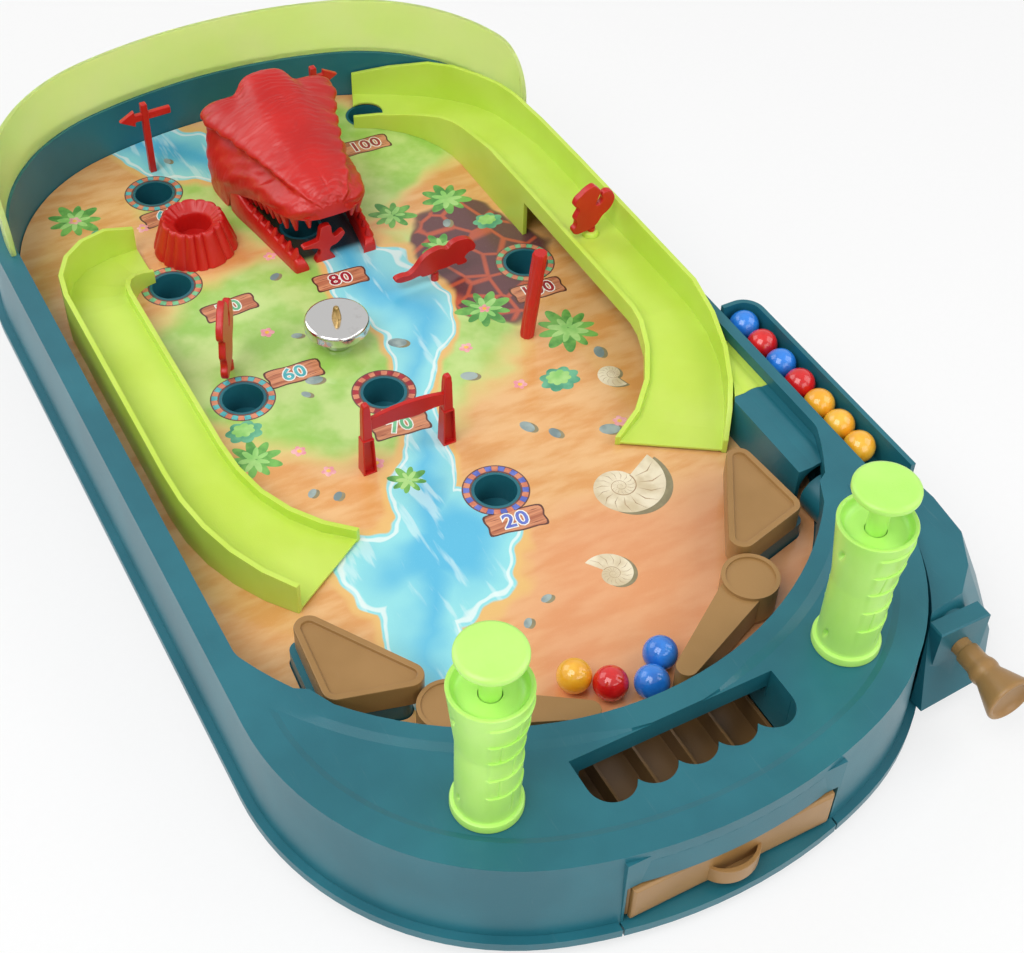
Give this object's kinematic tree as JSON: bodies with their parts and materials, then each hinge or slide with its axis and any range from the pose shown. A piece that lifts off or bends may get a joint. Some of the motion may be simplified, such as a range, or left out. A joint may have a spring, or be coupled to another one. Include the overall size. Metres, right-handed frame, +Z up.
{
  "type": "tabletop pinball game",
  "caption": "Tabletop pinball game: sloped tray with a sunk playfield, push-button flippers, ramps, score holes, ball trough with sprung plunger and a ball drawer.",
  "frame": {"origin": "middle of the front foot's sole, on the table", "axes": "+X to the player's right, +Y to the back of the game along its length, +Z up from the table"},
  "size_m": [0.247, 0.4102, 0.1079],
  "materials": {
    "teal_plastic": "moulded, satin gloss",
    "lime_plastic": "moulded, translucent gloss",
    "green_plastic": "moulded, gloss",
    "brown_plastic": "moulded, satin gloss",
    "red_plastic": "moulded, gloss",
    "white_plastic": "moulded, matt",
    "printed_sheet": "printed, matt",
    "blue_ball": "polished",
    "red_ball": "polished",
    "yellow_ball": "polished",
    "plated_metal": "plated",
    "brass_tip": "turned",
    "spring_steel": "drawn wire",
    "screw_steel": "zinc plated",
    "foot_rubber": "matt"
  },
  "bodies": {
    "cabinet": {"upper_shell": "teal_plastic", "playfield_floor": "teal_plastic", "score_cups": "teal_plastic", "bottom_cover": "teal_plastic", "playfield_sheet": "printed_sheet", "cover_screws": "screw_steel", "front_foot": "foot_rubber", "rear_legs": "teal_plastic", "left_tower": "green_plastic", "right_tower": "green_plastic", "left_button_spring": "spring_steel", "right_button_spring": "spring_steel", "left_slingshot": "brown_plastic", "right_slingshot": "brown_plastic", "left_ramp": "lime_plastic", "right_ramp": "lime_plastic", "back_fence": "lime_plastic", "launch_cover": "teal_plastic", "launch_collar": "lime_plastic", "launcher_housing": "teal_plastic", "plunger_spring": "spring_steel", "bumper_bell": "plated_metal", "bumper_tip": "brass_tip", "volcano": "red_plastic", "head": "red_plastic", "jaw": "red_plastic", "flat_figure": "red_plastic", "thin_figure": "red_plastic", "ramp_figure": "red_plastic", "mouth_figure": "red_plastic", "log_post": "red_plastic", "gate": "red_plastic", "left_signpost": "red_plastic", "right_signpost": "red_plastic", "blue_trough_balls": "blue_ball", "red_trough_balls": "red_ball", "yellow_trough_balls": "yellow_ball"},
    "left_button": {"left_button": "green_plastic"},
    "right_button": {"right_button": "green_plastic"},
    "left_push_rod": {"left_push_rod": "white_plastic"},
    "right_push_rod": {"right_push_rod": "white_plastic"},
    "left_flipper": {"left_flipper": "brown_plastic"},
    "right_flipper": {"right_flipper": "brown_plastic"},
    "left_balls": {"struck_yellow_ball": "yellow_ball", "struck_red_ball": "red_ball"},
    "right_balls": {"struck_blue_ball": "blue_ball", "resting_blue_ball": "blue_ball"},
    "drawer": {"drawer": "brown_plastic"},
    "plunger": {"plunger": "brown_plastic"}
  },
  "joints": [
    {"name": "left_button_press", "type": "slide", "parent": "cabinet", "child": "left_button", "axis": [0, 0.0576, -0.9983], "range_m": [0, 0.01], "stiffness_N_per_m": 120, "springref_m": -0.006, "deforming": ["left_button_spring"]},
    {"name": "left_rod_slide", "type": "slide", "parent": "cabinet", "child": "left_push_rod", "axis": [0, 0.9983, 0.0576], "range_m": [0, 0.01]},
    {"name": "left_flipper_swing", "type": "hinge", "parent": "cabinet", "child": "left_flipper", "pos_m": [-0.0527, 0.028, 0.02335], "axis": [0, -0.0576, 0.9983], "range_deg": [0, 45.6]},
    {"name": "left_balls_roll", "type": "slide", "parent": "cabinet", "child": "left_balls", "axis": [0, 0.9983, 0.0576], "range_m": [0, 0.046]},
    {"name": "right_button_press", "type": "slide", "parent": "cabinet", "child": "right_button", "axis": [0, 0.0576, -0.9983], "range_m": [0, 0.01], "stiffness_N_per_m": 120, "springref_m": -0.006, "deforming": ["right_button_spring"]},
    {"name": "right_rod_slide", "type": "slide", "parent": "cabinet", "child": "right_push_rod", "axis": [0, 0.9983, 0.0576], "range_m": [0, 0.01]},
    {"name": "right_flipper_swing", "type": "hinge", "parent": "cabinet", "child": "right_flipper", "pos_m": [0.0527, 0.028, 0.02335], "axis": [0, -0.0576, 0.9983], "range_deg": [-45.6, 0]},
    {"name": "right_balls_roll", "type": "slide", "parent": "cabinet", "child": "right_balls", "axis": [0, 0.9983, 0.0576], "range_m": [0, 0.046]},
    {"name": "drawer_slide", "type": "slide", "parent": "cabinet", "child": "drawer", "axis": [0, -0.9983, -0.0576], "range_m": [0, 0.03]},
    {"name": "plunger_pull", "type": "slide", "parent": "cabinet", "child": "plunger", "axis": [0, -0.9983, -0.0576], "range_m": [0, 0.015], "stiffness_N_per_m": 140, "springref_m": -0.006, "deforming": ["plunger_spring"]}
  ],
  "couplings": [
    {"joint": "left_rod_slide", "follows": "left_button_press", "ratio": 1},
    {"joint": "left_flipper_swing", "follows": "left_button_press", "rad_per_m": 78.958},
    {"joint": "left_balls_roll", "follows": "left_button_press", "ratio": 4.6},
    {"joint": "right_rod_slide", "follows": "right_button_press", "ratio": 1},
    {"joint": "right_flipper_swing", "follows": "right_button_press", "rad_per_m": -78.958},
    {"joint": "right_balls_roll", "follows": "right_button_press", "ratio": 4.6}
  ]
}
